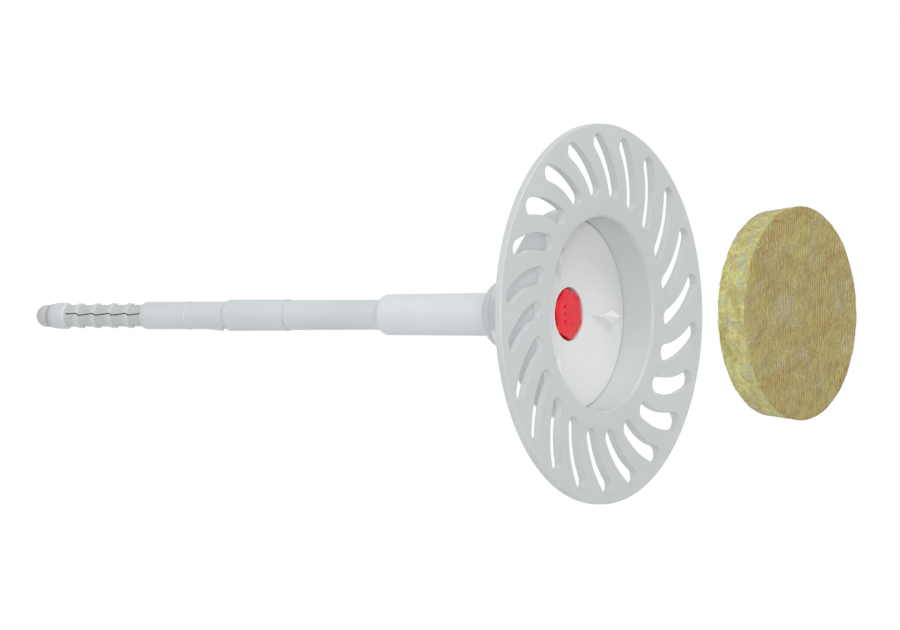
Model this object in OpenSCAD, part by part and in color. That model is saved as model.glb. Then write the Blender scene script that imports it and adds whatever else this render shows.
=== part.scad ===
// Countersunk facade insulation anchor with a slotted holding plate and a mineral wool cap.
// The axis is level and lies along X. +X points out of the wall, +Z is up.
// The origin is on the axis, in the middle of the plain shank that the drilled hole grips.

/* [Holding plate] */
// Diameter of the slotted plate
plate_d = 110; // [104:1:130]
// Thickness of the slotted plate
plate_t = 2.2; // [1.6:0.1:3]
// Rounding of the plate's outer edges
plate_edge_r = 0.4; // [0.2:0.05:0.7]
// Inner diameter of the cup that takes the anchor's disc and the cap
cup_d = 55.8; // [50:0.2:58]
// Depth from the plate's front face to the outer edge of the cup's floor
recess_depth = 10.2; // [8:0.1:14]
// Wall of the cup
cup_wall = 2.5; // [1.6:0.1:2.8]
// Length of the cup's straight outer wall behind the ledge
cup_foot = 1; // [0.8:0.1:5]
// Rounding of the cup's mouth
lip_r = 1; // [0.5:0.1:1.5]
// Rounding between the plate's back and the cup
web_r = 0.8; // [0.4:0.1:1.2]
// Width of the ledge that carries the anchor's disc
ledge_w = 2.9; // [2:0.1:4]
// Wall of the funnel behind the cup
funnel_wall = 2; // [1.5:0.1:2.5]
// Angle between the funnel's wall and the axis
funnel_a = 46.5; // [40:0.5:50]
// Radius where the funnel turns into its rounded end
hub_r = 9.9; // [9:0.1:13]
// Clearance of the tube in the funnel's end
hub_gap = 0.15; // [0.1:0.05:0.3]

/* [Slots] */
// Number of slots
slot_count = 22; // [16:1:24]
// Width of a slot
slot_w = 5.05; // [3:0.05:5.2]
// Width of the band between the cup and the slots
root_w = 3.1; // [2:0.1:5]
// Width of the rim outside the slots
rim_w = 2.8; // [2:0.1:5]
// Angle by which the outer end leads the inner end
slot_lead = 12.25; // [5:0.25:15]
// Radius of the slot's bow
slot_bow_r = 28; // [24:1:60]
// Angle of the first slot's inner end, from +Y towards +Z
slot_phase = -1.85; // [-8:0.05:8]

/* [Anchor disc] */
// Thickness of the disc at its edge
disc_t = 2.4; // [1.8:0.1:3]
// Clearance between the disc's edge and the cup
disc_gap = 0.15; // [0.1:0.05:0.4]
// Drop of the dished floor from its edge to the screw's well
dish = 1.15; // [0.3:0.05:1.5]
// Clearance between the hexagon's corners and the well
well_gap = 0.12; // [0.1:0.02:0.3]
// Wall of the well behind the disc
well_wall = 2.3; // [1.6:0.1:3]
// Thickness of the seat under the screw's head
seat_t = 4.6; // [3:0.1:6]
// Number of ribs behind the disc
rib_count = 6; // [4:1:8]
// Thickness of a rib
rib_t = 1.6; // [1:0.1:2.4]
// Number of prongs that hold the cap
prong_count = 3; // [3:1:6]
// Radius at which a prong starts
prong_r = 10.9; // [9:0.1:13]
// Length of a prong along the radius
prong_len = 10.5; // [6:0.1:12]
// Width of a prong
prong_w = 4; // [2:0.1:5]
// Height of a prong's point
prong_h = 4; // [2:0.1:6]
// Direction of the first prong, from +Y towards +Z
prong_turn = -2.4; // [-60:0.2:60]

/* [Tube] */
// Diameter of the tube where it leaves the funnel
tube_d = 12.5; // [12.2:0.1:13.5]
// Diameter of the tube before its rounded end
tube_tip_d = 11.85; // [11.2:0.05:12.1]
// Angle of the taper at the tube's end
taper_a = 33; // [20:1:60]
// Rounding between the taper and the tube
taper_r = 1.9; // [0.5:0.1:3]
// Distance from the tube's end to the plate's front face
tube_reach = 75.5; // [70:0.5:110]

/* [Expansion sleeve] */
// Diameter of the plain shank, the nominal size of the anchor
shank_d = 8; // [7.8:0.1:8.6]
// Length of the plain shank from the expansion zone to the depth ring
grip_len = 13.8; // [8:0.1:20]
// Length of the shank from the depth ring to the shoulder
rear_len = 13.3; // [11:0.1:20]
// Height of the depth ring over the shank
ring_h = 0.16; // [0.16:0.01:0.3]
// Width of the depth ring
ring_w = 0.35; // [0.2:0.05:0.6]
// Diameter of the shoulder that stops the tube
shoulder_d = 9.1; // [9:0.05:9.6]
// Length of the shoulder with its chamfer
shoulder_len = 21.6; // [12:0.1:30]
// Diameter of the guide that slides in the tube
guide_d = 8.7; // [8.3:0.05:8.8]
// Length of the fin that stops the sleeve from turning
fin_len = 5.6; // [3:0.1:8]
// Height of the fin
fin_h = 0.6; // [0.3:0.1:1]
// Width of the fin
fin_w = 1.5; // [0.8:0.1:2.5]
// Direction of the fin, from +Y towards +Z
fin_angle = 250; // [0:5:355]

/* [Expansion zone] */
// Number of barbs
barb_count = 4; // [3:1:6]
// Distance from one barb to the next
barb_pitch = 5.75; // [5:0.05:7]
// Diameter of the barbs
barb_d = 7; // [6.8:0.05:7.8]
// Diameter between the barbs
valley_d = 6.3; // [6:0.05:6.5]
// Height of a pad over the barb that carries it
pad_h = 0.1; // [0.05:0.05:0.4]
// Diameter of a pad
pad_d = 1.8; // [1:0.1:2]
// Length of the collar in front of the barbs
collar_len = 6.5; // [5:0.1:9]
// Diameter of the collar
collar_d = 7.65; // [7.2:0.05:7.7]
// Diameter of the nose
nose_d = 6.4; // [5.5:0.1:6.8]
// Length of the nose's straight part
nose_len = 0.7; // [0.2:0.1:4]
// Width of a slit
slit_w = 0.35; // [0.2:0.05:0.6]
// Side step of the slit at each barb
slit_step = 0.45; // [0:0.05:0.5]
// Direction of the first slit, from +Y towards +Z
slit_angle = 168.6; // [0:0.2:359]

/* [Drive shaft and screw] */
// Width of the hexagon across its flats
hex_af = 13.3; // [12:0.1:14]
// Height of the hexagon head
head_h = 5.5; // [4:0.1:7]
// Height of the head's face over the rim of its well
head_rise = 0.15; // [-1:0.05:0.5]
// Diameter of the flat face inside the head's chamfer
face_d = 10.6; // [9:0.1:11.5]
// Direction of the hexagon's first corner, from +Y towards +Z
hex_turn = 41.5; // [0:0.5:59]
// Height of the bars on the head's face
bar_h = 0.35; // [0.1:0.05:0.4]
// Length of a bar
bar_len = 4.8; // [3:0.1:6]
// Width of a bar, and of the space between two bars
bar_w = 1.1; // [0.8:0.05:1.2]
// Diameter of the moulded shaft
shaft_d = 5.8; // [5.2:0.1:6]
// Diameter of the steel screw
screw_d = 4.2; // [3.6:0.1:4.4]
// Length of the steel screw in front of the moulded shaft
screw_out = 50; // [42:0.5:51]
// Distance of the screw's point behind the expansion zone before it is driven
screw_rest = 4.8; // [2:0.1:5]
// Length of the steel screw held in the moulded shaft
screw_in = 20; // [10:0.5:30]
// Length of the screw's point
point_len = 1.4; // [0.8:0.1:3]

/* [Movement] */
// How far the tube slides over the guide while the screw is driven
travel = 31.8; // [15:0.1:32.5]
// Clearance that is left between tube and shoulder at the end of the travel
stop_gap = 0.1; // [0.05:0.05:0.5]
// Radial running clearance of shafts in their bores
run_gap = 0.1; // [0.05:0.01:0.1]

/* [Mineral wool cap] */
// Diameter of the cap's outer face
cap_front_d = 62; // [58:0.5:70]
// Diameter of the cap's inner face
cap_back_d = 60; // [56:0.5:66]
// Thickness of the cap
cap_t = 10.5; // [6:0.5:20]
// Distance of the cap from the plate, as taken off
cap_off = 57; // [20:0.5:80]

/* [Hidden] */
$fn = 96;
// Overlap of a cut past the face that it opens
cut = 1;
// Steps of a quarter round in a turned outline
arc_steps = 8;

// The expansion zone's barbs, and the notch behind the nose
ramp_len = 2.4;
crest_len = 0.4;
drop_len = 0.3;
barb_len = ramp_len + crest_len + drop_len;
first_valley = 1.65;
last_valley = 3.9;
zone_round = 1.8;
notch_w = 0.6;
notch_depth = 0.35;

// Places along the axis. The grip stretch of the shank is centred on the origin.
grip_tip_z = -grip_len / 2;
ring_z = grip_len / 2;
shoulder_z = ring_z + rear_len;
shoulder_end_z = shoulder_z + shoulder_len;
tube_tip_z = shoulder_end_z + travel + stop_gap;
face_z = tube_tip_z + tube_reach;
plate_back_z = face_z - plate_t;
floor_z = face_z - recess_depth;
ledge_z = floor_z - disc_t;
cup_end_z = ledge_z - cup_foot;
well_z = floor_z - dish;
head_z = well_z + head_rise;
seat_z = head_z - head_h - run_gap / 2;
guide_stop_z = seat_z - seat_t;
guide_end_z = guide_stop_z - travel - cut / 2;
cap_z = face_z + cap_off;
zone_end_z = grip_tip_z - zone_round;
collar_z = zone_end_z - last_valley - (barb_count - 1) * barb_pitch - barb_len - first_valley;
collar_tip_z = collar_z - collar_len;
nose_z = collar_tip_z - notch_w;

// The screw's point rests just behind the expansion zone and is driven through it
screw_tip_z = zone_end_z + screw_rest;
shaft_tip_z = screw_tip_z + screw_out;
screw_bore_end_z = screw_tip_z - travel - cut / 2;
shaft_bore_end_z = shaft_tip_z - travel - cut / 2;

// Radii
cup_r = cup_d / 2;
cup_outer_r = cup_r + cup_wall;
hex_r = hex_af / 2 / cos(30);
well_r = hex_r + well_gap;
disc_r = cup_r - disc_gap;
tube_r = tube_d / 2;
hub_bore_r = tube_r + hub_gap;
guide_bore_r = guide_d / 2 + run_gap;
shaft_bore_r = shaft_d / 2 + run_gap;
screw_bore_r = screw_d / 2 + run_gap;
shank_r = shank_d / 2;
valley_r = valley_d / 2;
barb_r = barb_d / 2;
slot_inner_r = cup_outer_r + root_w + slot_w / 2;
slot_outer_r = plate_d / 2 - rim_w - slot_w / 2;

// The funnel narrows to its rounded end, which closes on the tube
hub_top_z = cup_end_z - (cup_outer_r - hub_r) / tan(funnel_a);
hub_round = hub_r - hub_bore_r;
hub_end_z = hub_top_z - hub_round;

function polar(r, a) = [r * cos(a), r * sin(a)];

// Points of an arc in a turned outline, from angle a0 to a1
function arc(centre, r, a0, a1) =
    [for (i = [0 : arc_steps]) centre + polar(r, a0 + (a1 - a0) * i / arc_steps)];

// Lays what is drawn along +Z along +X, with local X to +Y and local Y to +Z
module along_x() {
    rotate([90, 0, 90]) children();
}

// One curved slot: a bowed channel with a round at each end. The rounds are a hair wider than the
// channel, so that its walls cross them instead of only touching them.
module slot() {
    relief = 0.04;
    inner = polar(slot_inner_r, 0);
    outer = polar(slot_outer_r, slot_lead);
    chord = outer - inner;
    chord_a = atan2(chord.y, chord.x);
    half = asin(norm(chord) / 2 / slot_bow_r);
    centre = (inner + outer) / 2 + slot_bow_r * cos(half) * polar(1, chord_a + 90);
    depth = plate_t + 2 * cut;
    translate([0, 0, plate_back_z - cut]) {
        translate(centre) rotate(chord_a - 90 - half)
            rotate_extrude(angle = 2 * half)
                translate([slot_bow_r - slot_w / 2, 0]) square([slot_w, depth]);
        for (end = [inner, outer])
            translate(end) cylinder(d = slot_w + relief, h = depth, $fn = 32);
    }
}

// The outline of the slotted plate, its cup and its funnel, turned about the axis
module plate_outline() {
    plate_r = plate_d / 2;
    inner_r = cup_r - ledge_w;
    inner_cone_r = cup_outer_r - funnel_wall / cos(funnel_a);
    inner_turn_z = cup_end_z - (inner_cone_r - inner_r) / tan(funnel_a);
    bore_turn_z = cup_end_z - (inner_cone_r - hub_bore_r) / tan(funnel_a);
    polygon(concat(
        arc([cup_r + lip_r, face_z - lip_r], lip_r, 180, 90),
        arc([plate_r - plate_edge_r, face_z - plate_edge_r], plate_edge_r, 90, 0),
        arc([plate_r - plate_edge_r, plate_back_z + plate_edge_r], plate_edge_r, 0, -90),
        arc([cup_outer_r + web_r, plate_back_z - web_r], web_r, 90, 180),
        [[cup_outer_r, cup_end_z]],
        arc([hub_bore_r, hub_top_z], hub_round, 0, -90),
        [[hub_bore_r, bore_turn_z]],
        [[inner_r, inner_turn_z]],
        [[inner_r, ledge_z]],
        [[cup_r, ledge_z]]
    ));
}

module insulation_plate() {
    color([0.77, 0.785, 0.79]) along_x() difference() {
        rotate_extrude($fn = 192) plate_outline();
        for (i = [0 : slot_count - 1])
            rotate(slot_phase + i * 360 / slot_count) slot();
    }
}

// Height of the dished floor at radius r
function floor_at(r) = well_z + dish * (r - well_r) / (disc_r - well_r);

// A prong is a thorn with a roof-shaped back that rises to its point; from above it is a star with
// hollow sides. The tail of its ridge starts just under the floor.
module prong() {
    widest = prong_len * 0.82;
    steps = 5;
    tail = [for (i = [0 : steps]) [widest * i / steps, prong_w / 2 * pow(i / steps, 2)]];
    point = [for (i = [1 : steps])
        [widest + (prong_len - widest) * i / steps, prong_w / 2 * pow(1 - i / steps, 2)]];
    side = concat(tail, point);
    other_side = [for (i = [len(side) - 2 : -1 : 1]) [side[i].x, -side[i].y]];
    base_z = well_z - disc_t / 4;
    tail_z = floor_at(prong_r) - 0.05;
    ridge_a = atan2(floor_at(prong_r + prong_len) + prong_h - tail_z, prong_len);
    roof_w = prong_w;
    roof_fall = 0.6 * roof_w;
    depth = prong_h + 2 * disc_t;
    intersection() {
        translate([prong_r, 0, base_z]) linear_extrude(prong_h + disc_t)
            polygon(concat(side, other_side));
        translate([prong_r, 0, tail_z]) rotate([0, -ridge_a, 0]) along_x()
            translate([0, 0, -prong_len]) linear_extrude(3 * prong_len)
                polygon([
                    [0, 0],
                    [-roof_w, -roof_fall],
                    [-roof_w, -depth],
                    [roof_w, -depth],
                    [roof_w, -roof_fall]
                ]);
    }
}

// The disc with its well, hub and tube, turned about the axis
module disc_outline() {
    well_outer_r = well_r + well_wall;
    hub_len = 2.6;
    hub_low_z = guide_stop_z + hub_len;
    neck_z = hub_low_z - (well_outer_r - tube_r);
    mouth_r = guide_bore_r + 0.15;
    taper_top = tube_tip_d / 2 - taper_r * (1 - cos(taper_a));
    tube_nose = taper_r * sin(taper_a) + (taper_top - mouth_r) / tan(taper_a);
    edge_r = 0.15;
    polygon(concat(
        [[well_r, seat_z]],
        [[well_r, well_z]],
        arc([disc_r - edge_r, floor_z - edge_r], edge_r, 90, 0),
        [[disc_r, ledge_z]],
        [[well_outer_r, ledge_z]],
        [[well_outer_r, hub_low_z]],
        [[tube_r, neck_z]],
        [[tube_r, hub_end_z]],
        arc([tube_tip_d / 2 - taper_r, tube_tip_z + tube_nose], taper_r, 0, -taper_a),
        [[mouth_r, tube_tip_z]],
        [[guide_bore_r, tube_tip_z]],
        [[guide_bore_r, guide_stop_z]],
        [[shaft_bore_r, guide_stop_z]],
        [[shaft_bore_r, seat_z]]
    ));
}

// A rib stiffens the disc behind its face and runs down the well
module rib() {
    reach = cup_r - ledge_w - rib_t;
    depth = well_wall + seat_t;
    translate([0, rib_t / 2, 0]) rotate([90, 0, 0]) linear_extrude(rib_t)
        polygon([
            [well_r + well_wall / 2, ledge_z + disc_t / 4],
            [reach, ledge_z + disc_t / 4],
            [reach, ledge_z - rib_t / 2],
            [well_r + well_wall / 2, ledge_z - depth]
        ]);
}

module anchor_disc() {
    color([0.84, 0.845, 0.855]) along_x() union() {
        rotate_extrude($fn = 192) disc_outline();
        for (i = [0 : prong_count - 1])
            rotate(prong_turn + i * 360 / prong_count) prong();
        for (i = [0 : rib_count - 1])
            rotate((i + 0.5) * 360 / rib_count) rib();
    }
}

// Where barb number i starts to rise, counted from the nose
function barb_z(i) = collar_z + first_valley + i * barb_pitch;

// The sleeve's outline with its two blind bores, turned about the axis
module sleeve_outline() {
    nose_r = nose_d / 2;
    collar_r = collar_d / 2;
    swell_len = 0.65 * collar_len;
    swell_steps = 5;
    collar_land = 0.25 * collar_len;
    ring_flank = 0.3;
    chamfer_len = 1.4;
    round_r = (zone_round * zone_round + pow(shank_r - valley_r, 2)) / (2 * (shank_r - valley_r));
    round_a = asin(zone_round / round_r);
    relief = 0.12;
    relief_len = 0.4;
    polygon(concat(
        [[0, nose_z - nose_len - nose_r]],
        arc([0, nose_z - nose_len], nose_r, -90 + 90 / arc_steps, 0),
        [[nose_r, nose_z]],
        [[nose_r - notch_depth, nose_z + notch_w / 2]],
        [for (i = [0 : swell_steps])
            [collar_r - (collar_r - nose_r) * pow(1 - i / swell_steps, 2),
             collar_tip_z + swell_len * i / swell_steps]],
        [[collar_r, collar_tip_z + swell_len + collar_land]],
        [[valley_r, collar_z]],
        [for (i = [0 : barb_count - 1], p = [
            [valley_r, 0],
            [barb_r, ramp_len],
            [barb_r, ramp_len + crest_len],
            [valley_r, barb_len]
        ]) [p.x, barb_z(i) + p.y]],
        [[valley_r, zone_end_z]],
        arc([shank_r - round_r, grip_tip_z], round_r, -round_a, 0),
        [[shank_r, ring_z]],
        [[shank_r + ring_h, ring_z + ring_flank]],
        [[shank_r + ring_h, ring_z + ring_flank + ring_w]],
        [[shank_r, ring_z + 2 * ring_flank + ring_w]],
        [[shank_r, shoulder_z]],
        [[shoulder_d / 2, shoulder_z + chamfer_len]],
        [[shoulder_d / 2, shoulder_end_z]],
        [[guide_d / 2 - relief, shoulder_end_z]],
        [[guide_d / 2, shoulder_end_z + relief_len]],
        [[guide_d / 2, guide_end_z - relief_len]],
        [[guide_d / 2 - relief, guide_end_z]],
        [[shaft_bore_r, guide_end_z]],
        [[shaft_bore_r, shaft_bore_end_z]],
        [[screw_bore_r, shaft_bore_end_z - (shaft_bore_r - screw_bore_r)]],
        [[screw_bore_r, screw_bore_end_z]],
        [[0, screw_bore_end_z - screw_bore_r / 2]]
    ));
}

// A slit that steps aside at each barb, cut from the bore to the outside
module slit() {
    start_z = collar_z + slit_w;
    end_z = grip_tip_z - zone_round / 2;
    fall_at = ramp_len + crest_len / 2;
    low_at = barb_len + drop_len;
    path = concat(
        [[start_z, 0]],
        [for (i = [0 : barb_count - 1], p = [[fall_at, 0], [low_at, slit_step]])
            [barb_z(i) + p.x, p.y]],
        [[end_z, 0]]
    );
    last = len(path) - 1;
    rotate([90, 0, 90]) linear_extrude(shank_d) rotate(90) mirror([0, 1])
        polygon(concat(
            [for (p = path) [p.x, p.y - slit_w / 2]],
            [for (i = [last : -1 : 0]) [path[i].x, path[i].y + slit_w / 2]]
        ));
}

// The fin rises towards the shoulder and ends just in front of it
module fin() {
    fin_back = 0.7;
    fin_end_z = shoulder_z - fin_back;
    rotate(fin_angle) translate([0, fin_w / 2, 0]) rotate([90, 0, 0]) linear_extrude(fin_w)
        polygon([
            [shank_r - fin_h, fin_end_z - fin_len],
            [shank_r, fin_end_z - fin_len],
            [shank_r + fin_h, fin_end_z],
            [shank_r - fin_h, fin_end_z]
        ]);
}

// Round pads on top of each barb and below it
module pads() {
    for (i = [0 : barb_count - 1], side = [90, -90])
        rotate(side) translate([0, 0, barb_z(i) + ramp_len + crest_len / 2])
            rotate([0, 90, 0]) translate([0, 0, screw_bore_r + cut / 2])
                cylinder(d = pad_d, h = barb_r + pad_h - screw_bore_r - cut / 2, $fn = 32);
}

module expansion_sleeve() {
    color([0.79, 0.805, 0.81]) along_x() difference() {
        union() {
            rotate_extrude() sleeve_outline();
            pads();
            fin();
        }
        for (turn = [0, 180])
            rotate(slit_angle + turn) slit();
    }
}

// The hexagon head, chamfered down from the round of its face
module hex_head() {
    slope = 6;
    intersection() {
        rotate(hex_turn) cylinder(r = hex_r, h = head_h, $fn = 6);
        cylinder(r1 = face_d / 2 + slope * head_h, r2 = face_d / 2, h = head_h);
    }
}

// One of the plain raised bars on the head's face, with round ends
module face_bar() {
    half = (bar_len - bar_w) / 2;
    for (side = [-1, 1])
        translate([side * half, 0, -bar_h]) cylinder(d = bar_w, h = 2 * bar_h, $fn = 24);
    translate([-half, -bar_w / 2, -bar_h]) cube([2 * half, bar_w, 2 * bar_h]);
}

// The screw's head, shaft and the socket that is moulded round the steel screw
module drive_shaft() {
    tip_chamfer = 0.5;
    color([0.85, 0.15, 0.2]) along_x() difference() {
        union() {
            translate([0, 0, head_z - head_h]) hex_head();
            for (row = [-1 : 1])
                translate([0, row * 2 * bar_w, head_z]) face_bar();
            translate([0, 0, shaft_tip_z + tip_chamfer])
                cylinder(d = shaft_d, h = head_z - head_h / 2 - shaft_tip_z - tip_chamfer);
            translate([0, 0, shaft_tip_z])
                cylinder(d1 = shaft_d - tip_chamfer, d2 = shaft_d, h = tip_chamfer);
        }
        translate([0, 0, shaft_tip_z - cut]) cylinder(d = screw_d, h = screw_in + cut);
    }
}

module steel_screw() {
    point_d = screw_d / 3;
    color([0.7, 0.71, 0.73]) along_x() union() {
        translate([0, 0, screw_tip_z + point_len])
            cylinder(d = screw_d, h = screw_out - point_len + screw_in);
        translate([0, 0, screw_tip_z]) cylinder(d1 = point_d, d2 = screw_d, h = point_len);
    }
}

module wool_cap() {
    color([0.68, 0.62, 0.42]) along_x() translate([0, 0, cap_z])
        cylinder(d1 = cap_back_d, d2 = cap_front_d, h = cap_t);
}

insulation_plate();
anchor_disc();
expansion_sleeve();
drive_shaft();
steel_screw();
wool_cap();
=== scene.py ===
import math
import random

import bpy
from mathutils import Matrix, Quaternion, Vector, noise

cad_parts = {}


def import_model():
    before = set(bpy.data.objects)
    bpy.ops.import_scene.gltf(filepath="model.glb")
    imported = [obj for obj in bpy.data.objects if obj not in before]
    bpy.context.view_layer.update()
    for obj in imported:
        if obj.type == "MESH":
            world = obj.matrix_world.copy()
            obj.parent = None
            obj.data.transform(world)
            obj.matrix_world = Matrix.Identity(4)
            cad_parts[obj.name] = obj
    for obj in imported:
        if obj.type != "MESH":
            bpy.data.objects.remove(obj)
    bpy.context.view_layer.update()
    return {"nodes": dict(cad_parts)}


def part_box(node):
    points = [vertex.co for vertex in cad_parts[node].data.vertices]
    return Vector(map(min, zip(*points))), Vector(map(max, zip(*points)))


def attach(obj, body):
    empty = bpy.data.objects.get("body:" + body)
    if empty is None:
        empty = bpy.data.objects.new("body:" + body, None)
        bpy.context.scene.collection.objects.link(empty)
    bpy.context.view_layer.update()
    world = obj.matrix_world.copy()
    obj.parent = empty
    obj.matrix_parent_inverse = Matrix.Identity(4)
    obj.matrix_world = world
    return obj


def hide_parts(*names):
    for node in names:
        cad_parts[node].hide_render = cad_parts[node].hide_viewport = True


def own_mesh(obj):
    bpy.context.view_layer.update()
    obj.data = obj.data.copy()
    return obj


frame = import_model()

MM = 0.001


def srgb(r, g, b):
    """A display colour from 0 to 255 as linear values with alpha."""
    def linear(v):
        v /= 255
        return v / 12.92 if v <= 0.04045 else ((v + 0.055) / 1.055) ** 2.4
    return (linear(r), linear(g), linear(b), 1.0)


def add_object(name, data):
    """A new object in the scene, from a mesh, a light or a camera."""
    made = bpy.data.objects.new(name, data)
    bpy.context.scene.collection.objects.link(made)
    return made


def turn_to(made, direction):
    """Turns a camera or a light to look along a direction."""
    made.rotation_mode = "QUATERNION"
    made.rotation_quaternion = direction.to_track_quat("-Z", "Y")


# Camera: level, turned 32.4 degrees round from the sleeve's side, long lens, slight roll.
# VIEW_WIDTH is the width in metres that the picture shows at the target.
LENS, SENSOR, VIEW_WIDTH = 1000.0, 36.0, 0.2608
AZIMUTH = math.radians(32.36)
ROLL = math.radians(0.2)
TARGET = Vector((0.0971, 0.0, -0.00015))
back = Vector((math.sin(AZIMUTH), -math.cos(AZIMUTH), 0.0))
camera = add_object("camera", bpy.data.cameras.new("camera"))
camera.data.lens = LENS
camera.data.sensor_width = SENSOR
camera.data.clip_start, camera.data.clip_end = 0.1, 30.0
camera.location = TARGET + back * (VIEW_WIDTH * LENS / SENSOR)
turn_to(camera, -back)
camera.rotation_quaternion = Quaternion(back, -ROLL) @ camera.rotation_quaternion
bpy.context.scene.camera = camera


class Graph:
    """A material's node tree, built from small calls."""

    def __init__(self, name):
        self.material = bpy.data.materials.new(name)
        self.material.use_nodes = True
        self.tree = self.material.node_tree
        self.tree.nodes.clear()
        self.out = self.tree.nodes.new("ShaderNodeOutputMaterial")
        self.shader = self.tree.nodes.new("ShaderNodeBsdfPrincipled")
        self.tree.links.new(self.shader.outputs[0], self.out.inputs[0])
        self.object = self.tree.nodes.new("ShaderNodeTexCoord").outputs["Object"]

    def node(self, kind, inputs=(), **settings):
        made = self.tree.nodes.new(kind)
        for key, value in settings.items():
            setattr(made, key, value)
        for key, value in dict(inputs).items():
            self.put(value, made.inputs[key])
        return made

    def put(self, value, socket):
        """Links a node's output to a socket, or sets the socket to a plain value."""
        if isinstance(value, bpy.types.NodeSocket):
            self.tree.links.new(value, socket)
        else:
            socket.default_value = value

    def place(self, scale=(1, 1, 1), turn=(0, 0, 0), offset=(0, 0, 0), vector=None):
        """The object's coordinates, or other ones, stretched, then turned and moved."""
        return self.node("ShaderNodeMapping", {
            "Vector": vector or self.object, "Scale": scale, "Rotation": turn,
            "Location": offset}).outputs[0]

    def noise(self, scale, detail=2.0, rough=0.5, vector=None, distort=0.0):
        return self.node("ShaderNodeTexNoise", {
            "Vector": vector or self.object, "Scale": scale, "Detail": detail,
            "Roughness": rough, "Distortion": distort}).outputs[0]

    def x(self):
        """The place along the anchor's axis."""
        return self.node("ShaderNodeSeparateXYZ", {"Vector": self.object}).outputs["X"]

    def length(self, vector):
        return self.node("ShaderNodeVectorMath", {0: vector}, operation="LENGTH").outputs["Value"]

    def spread(self, value, low, high, to_low=0.0, to_high=1.0):
        """The range from low to high, which may run downwards, spread over another."""
        return self.node("ShaderNodeMapRange", {
            "Value": value, "From Min": low, "From Max": high,
            "To Min": to_low, "To Max": to_high}).outputs[0]

    def math(self, operation, a, b):
        return self.node("ShaderNodeMath", {0: a, 1: b}, operation=operation).outputs[0]

    def times(self, a, b):
        return self.math("MULTIPLY", a, b)

    def plus(self, a, b):
        return self.math("ADD", a, b)

    def mix(self, factor, a, b, blend="MIX"):
        made = self.node("ShaderNodeMix", data_type="RGBA", blend_type=blend)
        for key, value in (("Factor_Float", factor), ("A_Color", a), ("B_Color", b)):
            self.put(value, next(s for s in made.inputs if s.identifier == key))
        return next(s for s in made.outputs if s.identifier == "Result_Color")

    def layers(self, base, layers):
        """Colours laid over base, each where its value goes from low to high, up to amount."""
        for value, low, high, amount, colour in layers:
            base = self.mix(self.times(self.spread(value, low, high), amount), base, colour)
        return base

    def bump(self, height, distance, strength=1.0, normal=None):
        given = {"Height": height, "Distance": distance, "Strength": strength}
        if normal is not None:
            given["Normal"] = normal
        return self.node("ShaderNodeBump", given).outputs[0]

    def rounded(self, radius, samples):
        """The normal as if the edges were rounded."""
        return self.node("ShaderNodeBevel", {"Radius": radius}, samples=samples).outputs[0]

    def finish(self, **sockets):
        for key, value in sockets.items():
            self.put(value, self.shader.inputs[key.replace("_", " ")])
        return self.material


# The mouldings
def moulded(name, colour, shade, rough=(0.38, 0.46), edge=0.25, painted_shading=None):
    """Matte moulded plastic: rounded edges, a fine grain, faint flow marks and cloudiness, with
    painted shading laid over where a part is given it.
    """
    g = Graph(name)
    cloud = g.noise(38.0, 3.0, 0.55)
    flow = g.noise(160.0, 2.0, 0.5, vector=g.place(scale=(0.35, 1.0, 1.0)), distort=0.6)
    tone = g.plus(g.times(cloud, 0.7), g.times(flow, 0.3))
    base = g.mix(g.spread(tone, 0.36, 0.64), shade, colour)
    # Painted shading, where a part is given it, goes over the colour here
    if painted_shading:
        base = painted_shading(g, base)
    grain = g.noise(5200.0, 2.0, 0.6)
    waves = g.noise(420.0, 2.0, 0.5)
    normal = g.bump(waves, 0.035 * MM, 0.35, g.rounded(edge * MM, 6))
    normal = g.bump(grain, 0.008 * MM, 0.6, normal)
    return g.finish(Base_Color=base, Roughness=g.spread(flow, 0.3, 0.7, *rough), Normal=normal,
                    Specular_IOR_Level=0.45)


def tube_painted_shade(g, base):
    """Painted shade and a painted cool reflection: the tube is painted a shade cooler and
    darker than the disc of the same moulding; the change lies out of sight.
    """
    cooler = g.mix(1.0, base, (0.855, 0.88, 0.89, 1.0), "MULTIPLY")
    return g.mix(g.spread(g.x(), 112 * MM, 122 * MM), cooler, base)


def valley_painted_shade(g, base):
    """Painted shade: the nose and the valleys between the barbs are painted a little darker and
    warmer, and a painted shadow line runs round behind the nose."""
    x = g.x()
    from_axis = g.length(g.place(scale=(0, 1, 1)))
    in_zone = g.spread(x, -7.8 * MM, -9 * MM)
    valley = g.times(g.spread(from_axis, 3.52 * MM, 3.2 * MM), in_zone)
    nose = g.spread(x, -38.5 * MM, -40.2 * MM)
    patch = g.spread(g.noise(700.0, 3.0, 0.6), 0.3, 0.7, 0.6, 1.0)
    darker = g.mix(1.0, base, (0.83, 0.79, 0.76, 1.0), "MULTIPLY")
    # Painted shade in the valleys and at the nose, patchy
    base = g.mix(g.times(g.math("MAXIMUM", valley, nose), patch), base, darker)
    # Painted shadow: a dark line round behind the nose
    line = g.times(g.spread(x, -40.0 * MM, -40.3 * MM), g.spread(x, -40.9 * MM, -40.6 * MM))
    return g.mix(g.times(line, 0.5), base, srgb(138, 138, 136))


def red_plastic():
    g = Graph("screw_red")
    cloud = g.noise(240.0, 3.0, 0.5)
    base = g.mix(g.spread(cloud, 0.35, 0.65), srgb(240, 14, 38), srgb(247, 22, 44))
    grain = g.noise(4200.0, 2.0, 0.5)
    normal = g.bump(grain, 0.008 * MM, 0.5, g.rounded(0.2 * MM, 8))
    return g.finish(Base_Color=base, Roughness=g.spread(cloud, 0.3, 0.7, 0.2, 0.27),
                    Normal=normal, Specular_IOR_Level=0.36)


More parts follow.
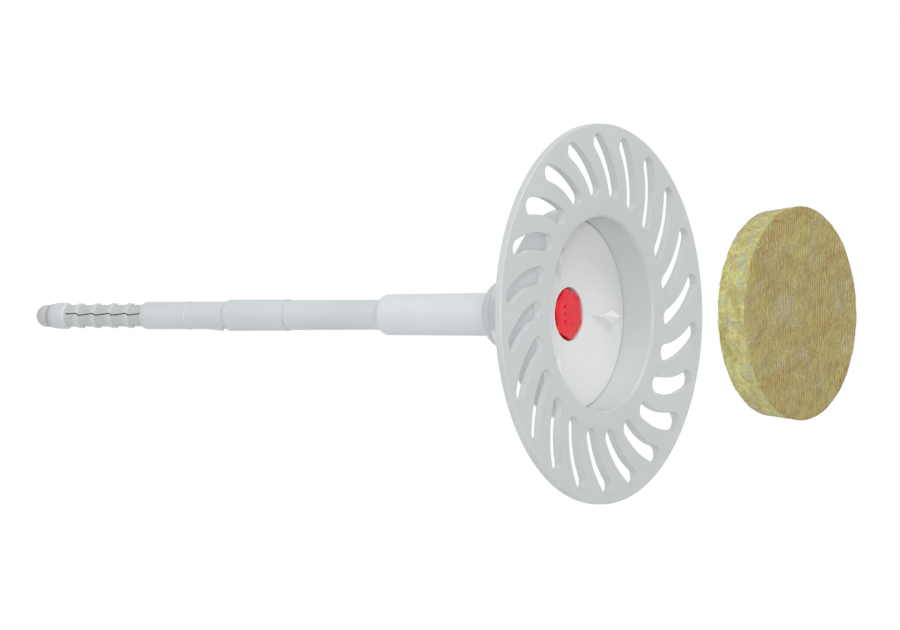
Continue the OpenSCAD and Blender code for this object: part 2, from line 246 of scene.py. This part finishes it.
def zinc_steel():
    g = Graph("screw_steel")
    streak = g.noise(900.0, 3.0, 0.6, vector=g.place(scale=(0.05, 1.0, 1.0)))
    base = g.mix(g.spread(streak, 0.3, 0.7), srgb(176, 180, 184), srgb(205, 208, 212))
    return g.finish(Base_Color=base, Metallic=1.0, Roughness=g.spread(streak, 0.3, 0.7, 0.24, 0.4),
                    Normal=g.bump(streak, 0.01 * MM, 0.5))


finishes = {
    "insulation_plate": moulded("plate_grey", srgb(206, 210, 211), srgb(202, 206, 207),
                                rough=(0.2, 0.26), edge=0.4),
    # The disc moulding: painted shade and a painted cool reflection on its tube
    "anchor_disc": moulded("disc_grey", srgb(236, 237, 238), srgb(232, 233, 235), painted_shading=tube_painted_shade),
    # The sleeve: painted shade in its valleys and at its nose
    "expansion_sleeve": moulded("sleeve_grey", srgb(210, 215, 217), srgb(205, 210, 212),
                                rough=(0.36, 0.44), edge=0.12, painted_shading=valley_painted_shade),
    "drive_shaft": red_plastic(),
    "steel_screw": zinc_steel(),
}
for name, material in finishes.items():
    slots = frame["nodes"][name].data.materials
    slots.clear()
    slots.append(material)


# The mineral wool cap: pressed fibres, combed into fine lines on the cut faces
CAP_LOW, CAP_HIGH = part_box("wool_cap")
FRONT_R = (CAP_HIGH.z - CAP_LOW.z) / 2 - 0.25 * MM  # leaves room for the side's relief
BACK_R = 29.5 * MM
COMB_SCALE = 268.0  # a line every 1.2 mm
SLANT = -0.49  # lean of the clumps and patches, in radians
WOOL_DARK = srgb(124, 104, 58)


def wool_face():
    g = Graph("wool_face")
    lines = g.noise(1000.0, 2.0, 0.7, vector=g.place(scale=(0.6, 1.9, 0.3)), distort=0.35)
    threads = g.noise(1000.0, 4.0, 0.7, distort=0.9, vector=g.place(
        scale=(0.8, 1.2, 0.8), turn=(0.5, 0, 0), offset=(3, 1, 2)))
    comb = g.node("ShaderNodeTexWave", {
        "Vector": g.object, "Scale": COMB_SCALE, "Distortion": 3.4, "Detail": 2.0,
        "Detail Scale": 0.8, "Detail Roughness": 0.6},
        wave_type="BANDS", bands_direction="Y").outputs[1]
    worn = g.noise(170.0, 3.0, 0.6, vector=g.place(offset=(0.2, 0.6, 0.8)))
    combed = g.spread(worn, 0.34, 0.58, 0.35, 1.0)
    slant = g.place(turn=(SLANT, 0, 0))
    lumps = g.noise(300.0, 5.0, 0.64, distort=0.9,
                    vector=g.place(scale=(0.5, 0.7, 1.4), vector=slant))
    brown = g.noise(110.0, 4.0, 0.62, distort=0.7, vector=g.place(
        scale=(0.5, 0.55, 1.2), offset=(0.1, 0.3, 0.6), vector=slant))
    grey = g.noise(120.0, 4.0, 0.64, distort=0.6, vector=g.place(
        scale=(0.5, 0.6, 1.1), offset=(0.4, 0.2, 0.7), vector=slant))
    olive = g.noise(120.0, 4.0, 0.6, distort=0.6, vector=g.place(
        scale=(0.5, 0.6, 1.1), offset=(0.9, 0.5, 0.1), vector=slant))
    base = g.mix(g.spread(olive, 0.38, 0.60), srgb(172, 153, 102), srgb(187, 173, 98))
    base = g.layers(base, (
        (brown, 0.49, 0.62, 0.85, srgb(176, 143, 82)),
        (grey, 0.51, 0.66, 0.7, srgb(190, 177, 146)),
        (lines, 0.48, 0.68, 0.2, srgb(216, 205, 150)),
        (lines, 0.46, 0.28, 0.2, WOOL_DARK)))
    # Painted light on the combed ridges and painted shade in their grooves
    ridge_light = g.times(g.spread(comb, 0.6, 1.0, 0.0, 0.38), combed)
    groove_shade = g.times(g.spread(comb, 0.4, 0.0, 0.0, 0.44), combed)
    base = g.mix(ridge_light, base, srgb(220, 209, 156))
    base = g.mix(groove_shade, base, srgb(124, 104, 60))
    base = g.layers(base, (
        # Painted shade in the clumps' hollows, then painted light on their tops
        (lumps, 0.45, 0.32, 0.3, WOOL_DARK),
        (lumps, 0.56, 0.70, 0.4, srgb(212, 200, 148)),
        (threads, 0.57, 0.70, 0.5, srgb(116, 96, 52))))
    height = g.plus(g.times(lines, 0.4), g.times(threads, 0.7))
    height = g.plus(height, g.times(g.times(comb, combed), 0.45))
    normal = g.bump(height, 0.3 * MM, 0.8, g.bump(lumps, 1.6 * MM, 0.75))
    return g.finish(Base_Color=base, Roughness=0.95, Normal=normal,
                    Specular_IOR_Level=0.15, Sheen_Weight=0.1, Sheen_Roughness=0.6)


def wool_side():
    g = Graph("wool_side")
    threads = g.noise(1250.0, 4.0, 0.75, vector=g.place(scale=(1.0, 0.6, 0.6)), distort=2.2)
    tufts = g.noise(600.0, 4.0, 0.66, distort=1.4)
    patch = g.noise(260.0, 4.0, 0.66, distort=1.0)
    cold = g.noise(200.0, 4.0, 0.66, vector=g.place(offset=(0.3, 0.9, 0.1)), distort=1.0)
    base = g.mix(g.spread(patch, 0.40, 0.60), srgb(186, 175, 106), srgb(216, 210, 142))
    base = g.layers(base, (
        (cold, 0.51, 0.62, 0.75, srgb(186, 194, 170)),
        # Painted shade in the hollows between the tufts
        (tufts, 0.46, 0.34, 0.5, srgb(142, 124, 68)),
        (threads, 0.55, 0.72, 0.55, srgb(138, 120, 66)),
        (threads, 0.43, 0.28, 0.55, srgb(236, 231, 184))))
    height = g.plus(g.times(threads, 0.4), tufts)
    return g.finish(Base_Color=base, Roughness=0.95, Normal=g.bump(height, 0.5 * MM, 0.8),
                    Specular_IOR_Level=0.15, Sheen_Weight=0.1, Sheen_Roughness=0.6)


def wool_strand():
    """Loose strands: each a little lighter or darker, by where it lies."""
    g = Graph("wool_strand")
    tone = g.noise(1500.0, 1.0, 0.5, vector=g.place(scale=(1.0, 1.0, 0.15)))
    warm = g.noise(80.0, 3.0, 0.6)
    base = g.mix(g.spread(tone, 0.36, 0.64), srgb(158, 142, 88), srgb(216, 206, 156))
    base = g.layers(base, ((warm, 0.5, 0.66, 0.4, srgb(178, 150, 96)),))
    return g.finish(Base_Color=base, Roughness=0.9, Specular_IOR_Level=0.2, Sheen_Weight=0.1)


def lumpy(x, y, z, offset=(0, 0, 0)):
    """Smooth noise, from about -1 to 1."""
    return noise.noise(Vector((x, y, z)) + Vector(offset))


def face_relief(x, y, z):
    """How far a cut face stands out at a point, in millimetres: fine lines, tufts, slanting
    clumps and dents. The clumps fade out towards the rim, which was cut clean."""
    lines = lumpy(y * 1200, z * 260, x * 300)
    tufts = lumpy(y * 460 + z * 160, z * 330, x * 100, (7, 3, 1))
    along, across = 0.88 * y + 0.47 * z, 0.88 * z - 0.47 * y
    clumps = lumpy(along * 110, across * 260, x * 100, (4, 8, 2))
    dents = lumpy(y * 110, z * 90, 5.0)
    inner = min(1.0, max(0.0, (0.98 - math.hypot(y, z) / BACK_R) / 0.14))
    level = -0.2 - 0.15 * inner
    return 0.05 * lines + 0.14 * tufts + (0.12 + 0.4 * inner) * clumps + 0.12 * dents + level


def side_relief(p, to_edge):
    """How far the side stands out at a point, in millimetres. It is drawn in at its edges,
    to_edge rows away."""
    tufts = lumpy(p.x * 420, p.y * 420, p.z * 420)
    layers = lumpy(p.x * 900, math.atan2(p.z, p.y) * 9, 2.0)
    dents = lumpy(p.x * 130, p.y * 130, p.z * 130, (2, 2, 9))
    lift = 0.13 * tufts + 0.06 * layers + 0.14 * dents - 0.2
    return lift + 0.12 * (1 - math.exp(-to_edge / 1.5))


def disc_point(a, b):
    """A point of the square from -1 to 1 moved to the unit disc, so that a grid stays even."""
    if a == 0 and b == 0:
        return 0.0, 0.0
    if abs(a) > abs(b):
        return a * math.cos(math.pi / 4 * b / a), a * math.sin(math.pi / 4 * b / a)
    return b * math.sin(math.pi / 4 * a / b), b * math.cos(math.pi / 4 * a / b)


def mesh_piece(name, verts, faces, *materials):
    mesh = bpy.data.meshes.new(name)
    mesh.from_pydata(verts, [], faces)
    for material in materials:
        mesh.materials.append(material)
    mesh.update()
    return add_object(name, mesh)


def wool_piece():
    """The cap as one closed skin: two square grids bent to discs, and the side between them."""
    count, rows = 132, 26
    edge_from, edge_drop = 0.985, 0.22
    verts, faces, kinds = [], [], []

    def face_grid(x, radius, way):
        """One cut face, which looks along +X or -X as way says; gives its rim's points."""
        index = {}
        for i in range(count + 1):
            for j in range(count + 1):
                u, v = disc_point(2 * i / count - 1, 2 * j / count - 1)
                y, z = u * radius, v * radius
                edge = max(0.0, (math.hypot(u, v) - edge_from) / (1 - edge_from))
                lift = face_relief(x, y, z) - edge_drop * edge * edge
                index[i, j] = len(verts)
                verts.append(Vector((x + way * lift * MM, y, z)))
        for i in range(count):
            for j in range(count):
                f = (index[i, j], index[i + 1, j], index[i + 1, j + 1], index[i, j + 1])
                faces.append(f[::way])
                kinds.append(0)
        rim = [(i, 0) for i in range(count)] + [(count, j) for j in range(count)]
        rim += [(i, count) for i in range(count, 0, -1)] + [(0, j) for j in range(count, 0, -1)]
        return [index[at] for at in rim]

    front = face_grid(CAP_HIGH.x, FRONT_R, 1)
    rear = face_grid(CAP_LOW.x, BACK_R, -1)
    rings = [rear]
    for k in range(1, rows):
        t = k / rows
        ring = []
        for a, b in zip(rear, front):
            p = verts[a].lerp(verts[b], t)
            out = Vector((0, p.y, p.z)).normalized()
            ring.append(len(verts))
            verts.append(p + out * (side_relief(p, min(t, 1 - t) * rows) * MM))
        rings.append(ring)
    rings.append(front)
    for low, high in zip(rings, rings[1:]):
        for n in range(len(front)):
            m = (n + 1) % len(front)
            faces.append((low[n], low[m], high[m], high[n]))
            kinds.append(1)
    made = mesh_piece("wool_cap_skin", verts, faces, wool_face(), wool_side())
    made.data.polygons.foreach_set("material_index", kinds)
    made.data.polygons.foreach_set("use_smooth", [True] * len(kinds))
    made.data.update()
    return made


def strand(verts, faces, points, radius):
    """One strand: a three-sided tube along its points, drawn out thin at both ends."""
    first = len(verts)
    last = len(points) - 1
    for k, p in enumerate(points):
        along = (points[min(k + 1, last)] - points[max(k - 1, 0)]).normalized()
        side = along.orthogonal().normalized()
        up = along.cross(side)
        r = radius * (0.25 if k in (0, last) else 1.0)
        for corner in range(3):
            a = corner * math.tau / 3
            verts.append(p + (side * math.cos(a) + up * math.sin(a)) * r)
    for k in range(last):
        for corner in range(3):
            a, b = first + 3 * k + corner, first + 3 * k + (corner + 1) % 3
            faces.append((a, b, b + 3, a + 3))


def wool_strands():
    """Loose strands: combed up and down on both faces, ruffled round the side."""
    dice = random.Random(11)
    side_count = 1500
    steps = [k / 4 - 0.5 for k in range(5)]
    verts, faces = [], []

    def lay(points):
        strand(verts, faces, points, dice.uniform(0.035, 0.07) * MM)

    # Each cut face: its place, its radius, the way it looks and its number of strands
    cut_faces = ((CAP_HIGH.x, FRONT_R, 1, 1500), (CAP_LOW.x, BACK_R, -1, 1000))
    for face_x, radius, way, count in cut_faces:
        limit = radius - 0.2 * MM
        for _ in range(count):
            a, r = dice.uniform(0, math.tau), radius * 0.97 * math.sqrt(dice.random())
            y, z = r * math.cos(a), r * math.sin(a)
            length = dice.uniform(0.8, 3.0) * MM
            lean, bow = dice.gauss(0.15, 0.55), dice.gauss(0, 0.35) * MM
            lift = dice.uniform(-0.04, 0.08)
            points = []
            for t in steps:
                p = Vector((0, y + lean * t * length + bow * (0.25 - t * t), z + t * length))
                flat = math.hypot(p.y, p.z)
                if flat > limit:
                    p *= limit / flat
                over = face_relief(face_x, p.y, p.z) + lift + dice.uniform(-0.02, 0.04)
                p.x = face_x + way * over * MM
                points.append(p)
            lay(points)
    for _ in range(side_count):
        a, t = dice.uniform(0, math.tau), dice.uniform(0.03, 0.97)
        radius = BACK_R + (FRONT_R - BACK_R) * t
        x = CAP_LOW.x + (CAP_HIGH.x - CAP_LOW.x) * t
        turn = dice.gauss(math.pi / 2, 0.7)
        length = dice.uniform(1.2, 4.0) * MM
        points = []
        for s in steps:
            angle = a + math.sin(turn) * s * length / radius
            px = x + math.cos(turn) * s * length
            px = min(max(px, CAP_LOW.x + 0.1 * MM), CAP_HIGH.x - 0.1 * MM)
            out = radius + (dice.uniform(-0.28, -0.08) + 0.2 * (0.25 - s * s)) * MM
            points.append(Vector((px, out * math.cos(angle), out * math.sin(angle))))
        lay(points)
    return mesh_piece("wool_strands", verts, faces, wool_strand())


wool = wool_piece()
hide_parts("wool_cap")
strands = wool_strands()
# The cap's skin and strands move with the cap's body, each with a mesh of its own
for piece in (wool, strands):
    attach(piece, "cap")
    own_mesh(piece)


# Floor, light and a plain white surround
FLOOR_HALF, FLOOR_Z = 1.1, -0.112
WORLD_LIGHT = 0.52
LIT_POINT = Vector((0.1, 0.0, 0.0))


def seen_directly(tree):
    """1 for rays from the camera, a gloss or a glass, which see the pale background, and 0
    for rays of light."""
    path = tree.nodes.new("ShaderNodeLightPath")
    value = path.outputs["Is Camera Ray"]
    for kind in ("Is Glossy Ray", "Is Transmission Ray"):
        larger = tree.nodes.new("ShaderNodeMath")
        larger.operation = "MAXIMUM"
        tree.links.new(value, larger.inputs[0])
        tree.links.new(path.outputs[kind], larger.inputs[1])
        value = larger.outputs[0]
    return value


def floor():
    """A pale floor that keeps the shadow and fades into the white surround."""
    g = Graph("floor_white")
    g.tree.nodes.remove(g.shader)
    plain = g.node("ShaderNodeBsdfDiffuse", {"Color": srgb(240, 240, 240)})
    glow = g.spread(g.length(g.object), 0.35, 0.8, 0.25, 0.6)
    bright = g.node("ShaderNodeEmission", {"Color": (1, 1, 1, 1), "Strength": glow})
    both = g.node("ShaderNodeAddShader", {0: plain.outputs[0], 1: bright.outputs[0]})
    shown = g.node("ShaderNodeMixShader", {0: seen_directly(g.tree), 1: plain.outputs[0],
                                           2: both.outputs[0]})
    g.put(shown.outputs[0], g.out.inputs[0])
    corners = ((-1, -1), (1, -1), (1, 1), (-1, 1))
    verts = [(FLOOR_HALF * x, FLOOR_HALF * y, FLOOR_Z) for x, y in corners]
    mesh_piece("floor", verts, [(0, 1, 2, 3)], g.material)


def world():
    """Even light on the object, and white where it is seen directly."""
    made = bpy.data.worlds.new("studio")
    bpy.context.scene.world = made
    made.use_nodes = True
    tree = made.node_tree
    tree.nodes.clear()
    out = tree.nodes.new("ShaderNodeOutputWorld")
    mix = tree.nodes.new("ShaderNodeMixShader")
    tree.links.new(seen_directly(tree), mix.inputs[0])
    shades = ((WORLD_LIGHT, (0.97, 0.99, 1.0, 1.0)), (1.0, (1, 1, 1, 1)))
    for socket, (strength, colour) in enumerate(shades, 1):
        shade = tree.nodes.new("ShaderNodeBackground")
        shade.inputs["Strength"].default_value = strength
        shade.inputs["Color"].default_value = colour
        tree.links.new(shade.outputs[0], mix.inputs[socket])
    tree.links.new(mix.outputs[0], out.inputs[0])


def softbox(name, place, side, power):
    """A square lamp that looks at LIT_POINT, with its side in metres and its power in watts."""
    data = bpy.data.lights.new(name, "AREA")
    data.shape = "SQUARE"
    data.size = side
    data.energy = power
    made = add_object(name, data)
    made.location = place
    turn_to(made, LIT_POINT - Vector(place))


floor()
world()
softbox("softbox_top", (0.7, -0.3, 1.3), 0.8, 5.5)
softbox("softbox_right", (0.95, 0.1, 1.0), 0.8, 1.8)
softbox("softbox_left", (-0.7, -0.8, 0.5), 0.8, 0.9)
softbox("softbox_front", (1.0, -1.42, 0.05), 0.42, 9.3)

bpy.context.scene.view_settings.view_transform = "Standard"
